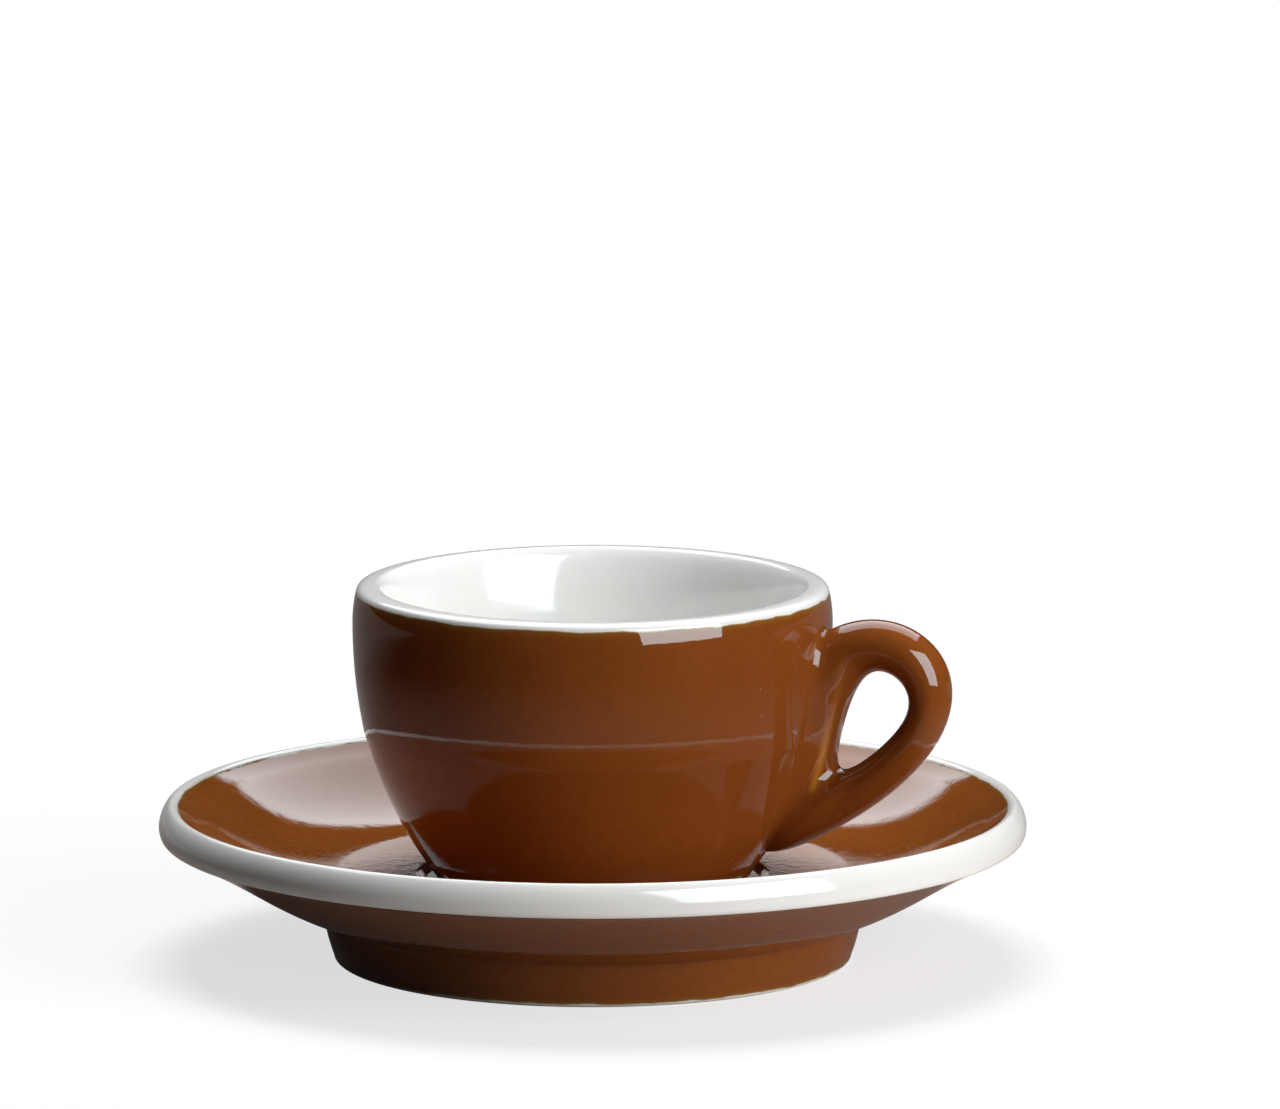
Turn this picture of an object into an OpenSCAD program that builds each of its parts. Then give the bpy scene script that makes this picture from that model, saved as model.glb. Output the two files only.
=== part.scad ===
// Thick-walled espresso cup on its saucer, in millimetres.
// The origin is the middle of the saucer's foot, +Z is up and +X runs towards the handle.
// Each round piece is one profile turned about the upright axis. A profile is a chain of
// lines, and the brown glaze is a thin coat let into the clay wherever a line is glazed brown.
// The handle is an ear: a finger hole shaped like an egg inside a larger egg.

/* [Saucer] */
// outer diameter across the rim
saucer_d = 120; // [117:0.5:123]
// top of the rim above the table
saucer_h = 21.75; // [21.5:0.05:23]
// width of the white rim, seen from above
rim_w = 2.6; // [2.4:0.1:3]
// how far the rounded rim stands above the brown dish beside it
rim_rise = 0.45; // [0.3:0.05:0.8]
// height of the rim's white outer face
rim_face_h = 4.6; // [4.2:0.05:5]
// rounding of that face's upper and lower edge
rim_round = 1.6; // [1.2:0.1:2]
// width of the straight ledge between the dish and the rim
ledge_w = 2.6; // [2:0.1:3]
// fall of the ledge towards the dish
ledge_fall = 1.3; // [1:0.05:1.5]

/* [Saucer well and foot] */
// floor of the well that the cup stands in, above the table
well_z = 10.9; // [10.7:0.1:11.4]
// room between the cup's base and the step round the well
well_gap = 1.3; // [1:0.1:2]
// height of the soft step round the well
well_step = 0.8; // [0.6:0.1:1]
// width of that step
well_step_w = 1.6; // [1.2:0.1:2]
// radius of the almost level floor from which the dish rises
floor_r = 35.5; // [34:0.5:37]
// how far that floor rises on its way out from the step
floor_rise = 0.4; // [0.2:0.1:0.8]
// radius of the foot where it meets the underside
foot_r = 37.2; // [36.6:0.1:37.8]
// height of that meeting line
foot_h = 6.3; // [5.9:0.1:6.5]
// how much narrower the foot is at the table
foot_taper = 1.25; // [1:0.05:1.5]
// width of the flat ring the saucer stands on
foot_flat = 1.9; // [1.5:0.1:2.4]
// rounding of the foot's two lower edges
foot_round = 1; // [0.8:0.1:1.2]
// height of the recess inside the foot
recess_h = 5.9; // [5.5:0.1:6.2]
// bare clay left at the bottom of the foot
bare_h = 0.5; // [0.3:0.05:0.7]

/* [Cup] */
// outer diameter at the lip
cup_d = 66.3; // [64:0.1:68]
// top of the lip above the table
cup_top = 52.4; // [51.6:0.1:53.6]
// radius at the lower end of the wall
base_r = 21.6; // [21.2:0.1:22]
// height of the foot ring under the wall
cup_foot_h = 0.75; // [0.6:0.05:0.9]
// how far the foot ring is set in from the wall
cup_foot_inset = 0.6; // [0.4:0.05:0.8]
// width of the foot ring's flat
cup_foot_flat = 2.7; // [2.2:0.1:3.2]
// rounding of the foot ring's edges
cup_foot_round = 0.35; // [0.25:0.05:0.4]
// depth of the recess inside the foot ring
cup_recess = 1.7; // [1.4:0.1:2]
// height of the soft knee in the wall, above the table
knee_z = 31.9; // [31:0.1:34]
// radius of the wall at the knee
knee_r = 31.6; // [31.2:0.1:31.9]

/* [Lip and bowl] */
// height of the line where the brown glaze stops below the lip, down from the top
white_band = 0.95; // [0.8:0.05:1.2]
// radius of the lip's highest ring
crest_r = 29.4; // [29:0.1:29.8]
// inner radius just below the lip
bore_r = 28.2; // [27.8:0.1:28.5]
// how far the lip turns in, from the cup's widest ring to the brown line
lip_turn_in = 0.5; // [0.3:0.05:0.6]
// how far below the top that widest ring lies
lip_drop = 5.2; // [4:0.1:6]
// how far it reaches down on the inside
lip_in_drop = 1.3; // [1:0.1:1.6]
// inside floor of the bowl above the table
bowl_z = 16.5; // [16.1:0.1:17.2]
// radius of the level middle of the bowl
bowl_flat_r = 8; // [6:0.5:10]

/* [Handle] */
// middle of the finger hole, out from the axis and up from the table
hole_mid = [39.85, 35.65];
// half the finger hole's length and half its width
hole_half = [7.7, 3.8];
// lean of the hole's long axis from level
hole_lean = 60; // [57:0.5:62]
// egg shape of the hole: pointed low end, bend, and bias along its length, in shares of the half width
hole_shares = [0.148, -0.077, -0.168];
// middle of the outer egg, out from the axis and up from the table
ear_mid = [35.45, 31.4];
// half the outer egg's length and half its width
ear_half = [19.2, 10.7];
// lean of the outer egg's long axis from level
ear_lean = 52; // [50:0.5:54]
// egg shape of the outer egg, in shares of its half width
ear_shares = [0.2, 0.113, 0.063];
// width of the handle across, at the strap your finger goes round
strap_w = 7.6; // [7:0.1:8.4]
// width across where it runs down the cup
leg_w = 8.8; // [8:0.1:10]
// distance out from the axis at which the leg has grown into the strap
leg_out = 38; // [37:0.5:40]
// length over which it grows
leg_blend = 6; // [4:0.5:8]
// reach of the soft flare where the handle meets the wall
flare_reach = 2.6; // [2:0.1:3.6]
// extra width of the flare at the wall, as a share of the width
flare_share = 0.25; // [0.1:0.05:0.3]

/* [Glaze] */
// thickness of the brown coat
coat = 0.3; // [0.2:0.05:0.4]

/* [Hidden] */
saucer_r = saucer_d / 2;
cup_r = cup_d / 2;
well_r = base_r + well_gap;
// the two egg shapes as lengths
hole_egg = [for (share = hole_shares) share * hole_half[1]];
ear_egg = [for (share = ear_shares) share * ear_half[1]];
// points in a curve, in a turn, round the ear and round the ear's section
curve_steps = 8;
turn_steps = 96;
ring_steps = 64;
section_steps = 24;
full_turn = 360;
// how hard a rounded corner pulls towards its sharp point
corner_share = 0.55;
// how far the foot's rounded edges run in at the bare line and at the table
edge_shares = [0.125, 0.25];

// A cubic curve from a to d, drawn towards b and c, without its last point.
function curve(a, b, c, d, n = curve_steps) =
    [for (i = [0 : n - 1]) let (t = i / n, s = 1 - t)
        s * s * s * a + 3 * s * s * t * b + 3 * s * t * t * c + t * t * t * d];

// A quarter-round corner from a to b, rounded towards the corner point k.
function corner(a, k, b) =
    curve(a, a + corner_share * (k - a), b + corner_share * (k - b), b);

// The line moved to its right by d, which is into the clay for a line that runs clockwise.
function side(p) = let (n = norm(p)) [p[1] / n, -p[0] / n];
function inset(line, d = coat) =
    let (last = len(line) - 1)
    [for (i = [0 : last]) line[i] + d * side(line[min(i + 1, last)] - line[max(i - 1, 0)])];

function reverse(line) = [for (i = [len(line) - 1 : -1 : 0]) line[i]];

// The dish, from the axis out to the white rim.
step_r = well_r + well_step_w;
step_z = well_z + well_step;
white_r = saucer_r - rim_w;
white_z = saucer_h - rim_rise;
ledge_r = white_r - ledge_w;
ledge_z = white_z - ledge_fall;
floor_z = step_z + floor_rise;
dish_run = ledge_r - floor_r;
dish_rise = ledge_z - floor_z;
step_shares = [0.5, 0.33];
dish_shares = [[0.58, 0.16], [0.825, 0.77]];
dish_line = concat(
    [[0, well_z]],
    curve([well_r, well_z], [well_r + step_shares[0] * well_step_w, well_z],
          [step_r - step_shares[1] * well_step_w, step_z], [step_r, step_z]),
    [[step_r, step_z]],
    curve([floor_r, floor_z],
          [floor_r + dish_shares[0][0] * dish_run, floor_z + dish_shares[0][1] * dish_rise],
          [floor_r + dish_shares[1][0] * dish_run, floor_z + dish_shares[1][1] * dish_rise],
          [ledge_r, ledge_z], 2 * curve_steps),
    [[ledge_r, ledge_z], [white_r, white_z]]);

// The white rim, from the dish over the top to the lower edge of its outer face.
rim_shares = [0.11, 0.5, 0.75];
rim_in_r = white_r + rim_shares[0] * rim_w;
rim_top_r = white_r + rim_shares[1] * rim_w;
rim_low_r = white_r + rim_shares[2] * rim_w;
rim_low_z = saucer_h - rim_face_h;
rim_line = concat(
    corner([white_r, white_z], [rim_in_r, saucer_h], [rim_top_r, saucer_h]),
    corner([rim_top_r, saucer_h], [saucer_r, saucer_h], [saucer_r, saucer_h - rim_round]),
    [[saucer_r, saucer_h - rim_round]],
    corner([saucer_r, rim_low_z + rim_round], [saucer_r, rim_low_z], [rim_low_r, rim_low_z]),
    [[rim_low_r, rim_low_z]]);

// The underside, from the rim in to the foot and down the foot's outer wall.
under_run = rim_low_r - foot_r;
under_rise = rim_low_z - foot_h;
under_shares = [[0.59, 0.65], [0.4, 0.22]];
foot_shares = [[0.11, 0.67], [0.67, 0.33]];
foot_low_r = foot_r - foot_taper;
under_line = concat(
    curve([rim_low_r, rim_low_z],
          [foot_r + under_shares[0][0] * under_run, foot_h + under_shares[0][1] * under_rise],
          [foot_r + under_shares[1][0] * under_run, foot_h + under_shares[1][1] * under_rise],
          [foot_r, foot_h], 2 * curve_steps),
    curve([foot_r, foot_h], [foot_r - foot_shares[0][0] * foot_taper, foot_shares[0][1] * foot_h],
          [foot_r - foot_shares[1][0] * foot_taper, foot_shares[1][1] * foot_h],
          [foot_low_r, foot_round]),
    [[foot_low_r, foot_round], [foot_low_r - edge_shares[0] * foot_round, bare_h]]);

// The bare ring it stands on, and the recess inside it.
flat_out_r = foot_low_r - foot_round;
flat_in_r = flat_out_r - foot_flat;
recess_r = flat_in_r - foot_round;
bare_line = concat(
    corner([foot_low_r - edge_shares[0] * foot_round, bare_h],
           [foot_low_r - edge_shares[1] * foot_round, 0], [flat_out_r, 0]),
    [[flat_out_r, 0]],
    corner([flat_in_r, 0], [recess_r + edge_shares[1] * foot_round, 0],
           [recess_r + edge_shares[0] * foot_round, bare_h]),
    [[recess_r + edge_shares[0] * foot_round, bare_h]]);
recess_line = concat(
    [[recess_r + edge_shares[0] * foot_round, bare_h], [recess_r, foot_round]],
    corner([recess_r, recess_h / 2], [recess_r - foot_round / 2, recess_h],
           [recess_r - recess_h / 2, recess_h]),
    [[recess_r - recess_h / 2, recess_h], [0, recess_h]]);

// The cup's white inside and lip, from the middle of the bowl out to the brown line.
white_line_r = cup_r - lip_turn_in;
white_line_z = cup_top - white_band;
bowl_shares = [0.887, 0.379];
bowl_rise = cup_top - lip_in_drop - bowl_z;
bowl_line = concat(
    [[0, bowl_z]],
    curve([bowl_flat_r, bowl_z], [bowl_shares[0] * bore_r, bowl_z],
          [bore_r, bowl_z + bowl_shares[1] * bowl_rise], [bore_r, cup_top - lip_in_drop],
          3 * curve_steps));
lip_run = white_line_r - crest_r;
lip_shares = [[0.59, 0], [0.94, 0.32]];
lip_line = concat(
    corner([bore_r, cup_top - lip_in_drop], [bore_r, cup_top], [crest_r, cup_top]),
    curve([crest_r, cup_top],
          [crest_r + lip_shares[0][0] * lip_run, cup_top - lip_shares[0][1] * white_band],
          [crest_r + lip_shares[1][0] * lip_run, cup_top - lip_shares[1][1] * white_band],
          [white_line_r, white_line_z]),
    [[white_line_r, white_line_z]]);

// The cup's brown wall, from the brown line down to the foot ring.
base_z = well_z + cup_foot_h;
lip_low_z = cup_top - lip_drop;
turn_rise = white_line_z - lip_low_z;
turn_shares = [[0.66, 0.33], [1, 0.67]];
turn_line = curve([white_line_r, white_line_z],
    [white_line_r + turn_shares[0][0] * lip_turn_in, white_line_z - turn_shares[0][1] * turn_rise],
    [white_line_r + turn_shares[1][0] * lip_turn_in, white_line_z - turn_shares[1][1] * turn_rise],
    [cup_r, lip_low_z]);
upper_rise = lip_low_z - knee_z;
lower_rise = knee_z - base_z;
knee_slopes = [0.2, 0.32];
base_slope = 0.75;
pulls = [0.38, 0.32, 0.34, 0.39];
upper_line = curve([cup_r, lip_low_z], [cup_r, lip_low_z - pulls[0] * upper_rise],
    [knee_r + knee_slopes[0] * pulls[1] * upper_rise, knee_z + pulls[1] * upper_rise],
    [knee_r, knee_z], 2 * curve_steps);
lower_line = curve([knee_r, knee_z],
    [knee_r - knee_slopes[1] * pulls[2] * lower_rise, knee_z - pulls[2] * lower_rise],
    [base_r + base_slope * pulls[3] * lower_rise, base_z + pulls[3] * lower_rise],
    [base_r, base_z], 2 * curve_steps);
cup_foot_r = base_r - cup_foot_inset;
wall_line = concat(turn_line, upper_line, lower_line,
    [[base_r, base_z], [cup_foot_r, base_z - cup_foot_round / 2],
     [cup_foot_r, well_z + cup_foot_round]]);

// The cup's foot ring and the recess inside it.
cup_flat_out_r = cup_foot_r - cup_foot_round;
cup_flat_in_r = cup_flat_out_r - cup_foot_flat;
cup_recess_r = cup_flat_in_r - cup_foot_round;
cup_recess_z = well_z + cup_recess;
cup_foot_line = concat(
    corner([cup_foot_r, well_z + cup_foot_round], [cup_foot_r, well_z],
           [cup_flat_out_r, well_z]),
    [[cup_flat_out_r, well_z]],
    corner([cup_flat_in_r, well_z], [cup_recess_r, well_z],
           [cup_recess_r, well_z + cup_foot_round]),
    [[cup_recess_r, well_z + cup_foot_round]]);
cup_recess_line = concat(
    [[cup_recess_r, well_z + cup_foot_round]],
    corner([cup_recess_r, cup_recess_z - cup_recess / 2],
           [cup_recess_r, cup_recess_z], [cup_recess_r - cup_recess, cup_recess_z]),
    [[cup_recess_r - cup_recess, cup_recess_z], [0, cup_recess_z]]);

// Half a profile turned once about the axis.
module turned(line) rotate_extrude($fn = turn_steps) polygon(line);

// A coat is the strip between a line and the same line moved into the clay.
module glaze_coat(line) turned(concat(line, reverse(inset(line))));

module saucer_body() color("white")
    turned(concat(inset(dish_line), rim_line, inset(under_line), bare_line, inset(recess_line)));

module saucer_dish_glaze() color("sienna") glaze_coat(dish_line);

module saucer_underside_glaze() color("sienna") glaze_coat(under_line);

module saucer_recess_glaze() color("sienna") glaze_coat(recess_line);

module cup_body() color("white")
    turned(concat(bowl_line, lip_line, inset(wall_line), cup_foot_line, inset(cup_recess_line)));

module cup_wall_glaze() color("sienna") glaze_coat(wall_line);

module cup_recess_glaze() color("sienna") glaze_coat(cup_recess_line);

// A point of an egg-shaped loop at the angle t.
function egg(mid, half, lean, shape, t) =
    let (along = half[0] * cos(t) + shape[2] * cos(2 * t),
         across = half[1] * sin(t) + shape[0] * sin(2 * t) + shape[1] * (1 - cos(2 * t)) / 2)
    mid + [along * cos(lean) - across * sin(lean), along * sin(lean) + across * cos(lean)];

// The cup wall's radius at the height z, and how far outside it a point lies.
wall_table = [for (p = reverse(wall_line)) if (p[1] > base_z) [p[1], p[0]]];
function outside(x, z) = x - lookup(z, wall_table);

// A growth from 0 to 1 with soft ends.
function soft(u) = let (v = min(max(u, 0), 1)) v * v * (3 - 2 * v);
function flare(d) = let (v = min(max(1 - d / flare_reach, 0), 1)) 1 + flare_share * v * v;

// One point of the handle's skin: t runs round the ear, s runs round its section.
function ear_point(t, s) =
    let (inner = egg(hole_mid, hole_half, hole_lean, hole_egg, t),
         outer = egg(ear_mid, ear_half, ear_lean, ear_egg, t),
         mid = (inner + outer) / 2,
         p = mid + (outer - inner) / 2 * cos(s),
         grown = soft((leg_out - mid[0]) / leg_blend),
         width = strap_w + (leg_w - strap_w) * grown)
    [p[0], width / 2 * sin(s) * flare(outside(p[0], p[1])), p[1]];

module ear() {
    points = [for (i = [0 : ring_steps - 1]) for (j = [0 : section_steps - 1])
        ear_point(i * full_turn / ring_steps, j * full_turn / section_steps)];
    function at(i, j) = (i % ring_steps) * section_steps + j % section_steps;
    faces = [for (i = [0 : ring_steps - 1]) for (j = [0 : section_steps - 1]) for (k = [0, 1])
        k == 0 ? [at(i, j), at(i + 1, j), at(i + 1, j + 1)]
               : [at(i, j), at(i + 1, j + 1), at(i, j + 1)]];
    polyhedron(points, faces);
}

// The handle's root follows the wall, so what would lie inside the cup is cut away.
module handle() color("sienna") difference() {
    ear();
    turned(concat([[0, white_line_z]], wall_line, [[0, well_z + cup_foot_round]]));
}

saucer_body();
saucer_dish_glaze();
saucer_underside_glaze();
saucer_recess_glaze();
cup_body();
cup_wall_glaze();
cup_recess_glaze();
handle();
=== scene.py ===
# %% [markdown]
# # An espresso cup on its saucer
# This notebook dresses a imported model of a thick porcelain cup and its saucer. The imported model
# gives the sizes, and each cell below makes one piece or one finish. Every length is in metres
# in Blender, but potters think in millimetres, so the profiles are written in millimetres and
# shrunk once, where a mesh is made.

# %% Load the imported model
import math

import bpy
import numpy as np
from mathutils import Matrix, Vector
from mathutils.bvhtree import BVHTree


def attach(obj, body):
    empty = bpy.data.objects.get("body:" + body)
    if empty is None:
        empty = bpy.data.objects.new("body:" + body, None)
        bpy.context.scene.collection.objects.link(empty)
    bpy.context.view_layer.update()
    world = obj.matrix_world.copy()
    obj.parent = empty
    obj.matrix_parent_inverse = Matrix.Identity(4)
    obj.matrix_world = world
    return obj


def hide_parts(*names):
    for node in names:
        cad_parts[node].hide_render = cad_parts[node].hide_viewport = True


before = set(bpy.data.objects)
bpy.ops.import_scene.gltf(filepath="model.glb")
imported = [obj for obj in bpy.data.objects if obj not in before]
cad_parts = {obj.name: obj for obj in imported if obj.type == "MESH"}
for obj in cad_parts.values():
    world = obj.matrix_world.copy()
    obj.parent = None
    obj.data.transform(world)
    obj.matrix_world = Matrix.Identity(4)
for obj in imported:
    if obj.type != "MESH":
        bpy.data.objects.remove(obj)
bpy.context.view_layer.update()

MM = 0.001

# %% [markdown]
# ## The camera
# The photograph was taken with a long lens from about two metres, eleven and a half degrees
# above the table, with the handle turned seventeen degrees towards the camera. The pair stands
# low in the frame, so the camera aims at a point above it. Aiming there is simpler than
# shifting the lens, and it keeps every other view centred.

# %% Camera
HANDLE_TURN = math.radians(17)
LOOK_DOWN = math.radians(11.5)
CAMERA_AWAY = 2.0
LENS_MM = 405.8
AIM_RIGHT, AIM_UP = 0.00658, 0.05563

to_right = Vector((math.cos(HANDLE_TURN), math.sin(HANDLE_TURN), 0))
level_to_camera = Vector((math.sin(HANDLE_TURN), -math.cos(HANDLE_TURN), 0))
to_camera = level_to_camera * math.cos(LOOK_DOWN) + Vector((0, 0, math.sin(LOOK_DOWN)))
aim = to_right * AIM_RIGHT + to_camera.cross(to_right) * AIM_UP

camera = bpy.data.objects.new("camera", bpy.data.cameras.new("camera"))
camera.data.lens = LENS_MM
camera.data.clip_end = 50
camera.location = to_camera * CAMERA_AWAY
camera.rotation_mode = "QUATERNION"
camera.rotation_quaternion = (aim - camera.location).to_track_quat("-Z", "Y")
bpy.context.scene.collection.objects.link(camera)
bpy.context.scene.camera = camera
bpy.context.scene.view_settings.view_transform = "Standard"
print("camera looks down", round(math.degrees(LOOK_DOWN), 1), "degrees")

# %% [markdown]
# ## Profiles
# Both pieces are thrown shapes: a profile turned about an upright axis. A profile could be a
# spline object with a screw modifier, but a list of points keeps each height and radius in
# plain sight. It is drawn with cubic curves, which leave each end towards a pull point, and
# with rounded corners made from them. The other helpers join, measure, cut and move lines.

# %% Profile helpers
STEPS = 20
TINY = 1e-6


def curve(a, b, c, d, steps=STEPS):
    """A cubic curve from a to d, drawn towards b and c, without its last point."""
    t = (np.arange(steps) / steps)[:, None]
    a, b, c, d = (np.array(p, float) for p in (a, b, c, d))
    s = 1 - t
    return list(s**3 * a + 3 * s * s * t * b + 3 * s * t * t * c + t**3 * d)


def corner(a, k, b, steps=STEPS, pull=0.55):
    """A rounded corner from a to b, where k is the corner's sharp point."""
    a, k, b = (np.array(p, float) for p in (a, k, b))
    return curve(a, a + pull * (k - a), b + pull * (k - b), b, steps)


def between(start, end, shares):
    """A point that lies its own share of the way from start to end, across and up."""
    return [a + share * (b - a) for a, b, share in zip(start, end, shares)]


def chain(*parts):
    """Parts joined into one line, without points that repeat."""
    line = [np.array(p, float) for part in parts for p in part]
    moved = [q for p, q in zip(line, line[1:]) if np.linalg.norm(q - p) > TINY]
    return np.array([line[0]] + moved)


def lengths(line):
    """How far along the line each of its points lies."""
    return np.concatenate([[0], np.cumsum(np.linalg.norm(np.diff(line, axis=0), axis=1))])


def total(line):
    return lengths(line)[-1]


def piece_of(line, start, end):
    """The stretch of a line between two distances along it."""
    along = lengths(line)
    at = lambda s: [np.interp(s, along, line[:, i]) for i in (0, 1)]
    inner = line[(along > start + TINY) & (along < end - TINY)]
    return chain([at(start)], inner, [at(end)])


def into_clay(line, depth):
    """The line moved to its right, which is into the clay."""
    t = np.gradient(line, axis=0)
    t /= np.linalg.norm(t, axis=1)[:, None]
    return line + depth * np.c_[t[:, 1], -t[:, 0]]


print("profile helpers ready")

# %% [markdown]
# ## The saucer's profile
# The line starts in the middle of the well and runs outwards and round to the recess under
# the foot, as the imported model's does. Round the well the floor is nearly flat. Then the dish
# rises more and more steeply to a short straight ledge below the raised white rim, and the
# underside sweeps in towards a tall foot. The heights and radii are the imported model's own.
# Only the rim's outer top edge is rounder here, as it is in the photograph.

# %% Saucer profile
SAUCER_R, RIM_TOP = 60, 21.75
WELL_Z, WELL_R, STEP_R, STEP_Z = 10.9, 22.9, 24.5, 11.7
STEP_PULLS = 0.8, 0.53
FLOOR_R, FLOOR_Z, FLOOR_PULL = 35.5, 12.1, (3.667, 0.133)
LEDGE_R, LEDGE_Z = 54.8, 20.0
DISH_PULLS = (0.58, 0.16), (0.825, 0.77)
WHITE_R, WHITE_Z, WHITE_PULL = 57.4, 21.3, 0.286
RIM_TURN, RIM_PULL, RIM_SIDE, RIM_CREST_R = 3.1, 0.42, 1.5, 58.3
RIM_LOW_R, RIM_LOW_Z = 59.35, 17.15
FOOT_R, FOOT_Z = 37.2, 6.3
UNDER_PULLS = (0.59, 0.65), (0.4, 0.22)

step, floor_edge, ledge = [STEP_R, STEP_Z], [FLOOR_R, FLOOR_Z], [LEDGE_R, LEDGE_Z]
white_edge, crest = [WHITE_R, WHITE_Z], [RIM_CREST_R, RIM_TOP]
dish_line = chain(
    [[0, WELL_Z], [WELL_R / 2, WELL_Z]],
    curve([WELL_R, WELL_Z], [WELL_R + STEP_PULLS[0], WELL_Z],
          [STEP_R - STEP_PULLS[1], STEP_Z], step),
    curve(step, [STEP_R + FLOOR_PULL[0], STEP_Z + FLOOR_PULL[1]],
          [FLOOR_R - FLOOR_PULL[0], FLOOR_Z - FLOOR_PULL[1]], floor_edge),
    curve(floor_edge, *(between(floor_edge, ledge, pull) for pull in DISH_PULLS), ledge,
          steps=60),
    [ledge, white_edge])
side_top, side_low = [SAUCER_R, RIM_TOP - RIM_TURN], [SAUCER_R, RIM_LOW_Z + RIM_SIDE]
rim_low = [RIM_LOW_R, RIM_LOW_Z]
rim_line = chain(
    corner(white_edge, [WHITE_R + WHITE_PULL, RIM_TOP], crest),
    corner(crest, [SAUCER_R, RIM_TOP], side_top, pull=RIM_PULL),
    [side_top],
    corner(side_low, [SAUCER_R, RIM_LOW_Z], rim_low),
    [rim_low])
foot_top = [FOOT_R, FOOT_Z]
under_sweep = chain(
    curve(rim_low, *(between(foot_top, rim_low, pull) for pull in UNDER_PULLS), foot_top,
          steps=60),
    [foot_top])
print("saucer dish, rim and underside points:", len(dish_line), len(rim_line), len(under_sweep))

# %% [markdown]
# ## The saucer's foot
# The saucer stands on a turned ring, wiped bare below, with a shallow recess inside it. Clay
# and glaze never meet in a sharp crease, and a crease would show as a dark line. So the
# corner between underside and ring is cut back half a millimetre each way and rounded.

# %% Saucer foot profile
FOOT_LOW_R, FOOT_LOW_Z, CREASE = 35.95, 1, 0.5
FOOT_PULLS = (0.1375, 0.67), (0.8375, 0.33)
BARE_Z, BARE_IN, TOE, RECESS_R, RECESS_Z = 0.5, 0.125, 1, 31.05, 5.9

foot_low = [FOOT_LOW_R, FOOT_LOW_Z]
bare_out, bare_in = [FOOT_LOW_R - BARE_IN, BARE_Z], [RECESS_R + TOE + BARE_IN, BARE_Z]
foot_side = chain(
    curve(foot_top, *([FOOT_R - inward, share * FOOT_Z] for inward, share in FOOT_PULLS),
          foot_low),
    [foot_low, bare_out])
under_sweep = piece_of(under_sweep, 0, total(under_sweep) - CREASE)
foot_side = piece_of(foot_side, CREASE, total(foot_side))
under_line = chain(
    under_sweep, corner(under_sweep[-1], foot_top, foot_side[0], steps=10), foot_side)
bare_line = chain(
    corner(bare_out, [FOOT_LOW_R - 2 * BARE_IN, 0], [FOOT_LOW_R - TOE, 0], steps=8),
    [[FOOT_LOW_R - TOE, 0]],
    corner([RECESS_R + 2 * TOE, 0], [RECESS_R + TOE + 2 * BARE_IN, 0], bare_in, steps=8),
    [bare_in])
recess_turn = [RECESS_R + TOE - RECESS_Z / 2, RECESS_Z]
recess_line = chain(
    [bare_in, [RECESS_R + TOE, FOOT_LOW_Z]],
    corner([RECESS_R + TOE, RECESS_Z / 2], [RECESS_R + TOE / 2, RECESS_Z], recess_turn),
    [recess_turn, [0, RECESS_Z]])
print("foot and recess points:", len(under_line), len(bare_line), len(recess_line))

# %% [markdown]
# ## The cup's profile
# It starts in the middle of the bowl, goes over the thick rolled lip and down the wall, whose
# soft knee half way down turns it in towards the small foot ring. The bowl rolls into the lip
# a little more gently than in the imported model, because that part of it mirrors a lamp in the
# photograph, and the lit patch needs a wall that leans like this.

# %% Cup profile
CUP_R, CUP_TOP, CREST_R = 33.15, 52.4, 30.1
BOWL_Z, BOWL_FLAT_R, BOWL_PULL_R = 16.5, 8, 25.0134
ROLL_R, ROLL_Z, ROLL_BELOW, ROLL_ABOVE = 27.0, 43.5, (0.3, 11), (0.7, 4)
CREST_IN, CREST_OUT, LIP_PULL = 1.8, 1.918, (0.195, 0.304)
WHITE_LINE_R, WHITE_LINE_Z, WHITE_LINE_PULL = 32.65, 51.45, 0.33
LIP_Z, LIP_TURN = 47.2, 1.403
KNEE_R, KNEE_Z = 31.6, 31.9
UPPER_PULL, KNEE_UP, KNEE_UP_LEAN = 0.38, 0.32, 0.2
KNEE_DOWN, KNEE_DOWN_LEAN, BASE_UP, BASE_LEAN = 0.34, 0.32, 0.39, 0.75
BASE_R, BASE_Z, BASE_EDGE = 21.6, 11.65, 0.175
CUP_FOOT_R, FOOT_EDGE = 21.0, 0.35

roll, cup_crest, white_line = [ROLL_R, ROLL_Z], [CREST_R, CUP_TOP], [WHITE_LINE_R, WHITE_LINE_Z]
bowl_line = chain(
    [[0, BOWL_Z]],
    curve([BOWL_FLAT_R, BOWL_Z], [BOWL_PULL_R, BOWL_Z],
          [ROLL_R - ROLL_BELOW[0], ROLL_Z - ROLL_BELOW[1]], roll, steps=70),
    [roll])
lip_line = chain(
    curve(roll, [ROLL_R + ROLL_ABOVE[0], ROLL_Z + ROLL_ABOVE[1]],
          [CREST_R - CREST_IN, CUP_TOP], cup_crest, steps=40),
    curve(cup_crest, [CREST_R + CREST_OUT, CUP_TOP],
          [WHITE_LINE_R - LIP_PULL[0], CUP_TOP - LIP_PULL[1]], white_line, steps=30),
    [white_line])
lip_low, knee, base = [CUP_R, LIP_Z], [KNEE_R, KNEE_Z], [BASE_R, BASE_Z]
upper, lower = LIP_Z - KNEE_Z, KNEE_Z - BASE_Z
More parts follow.
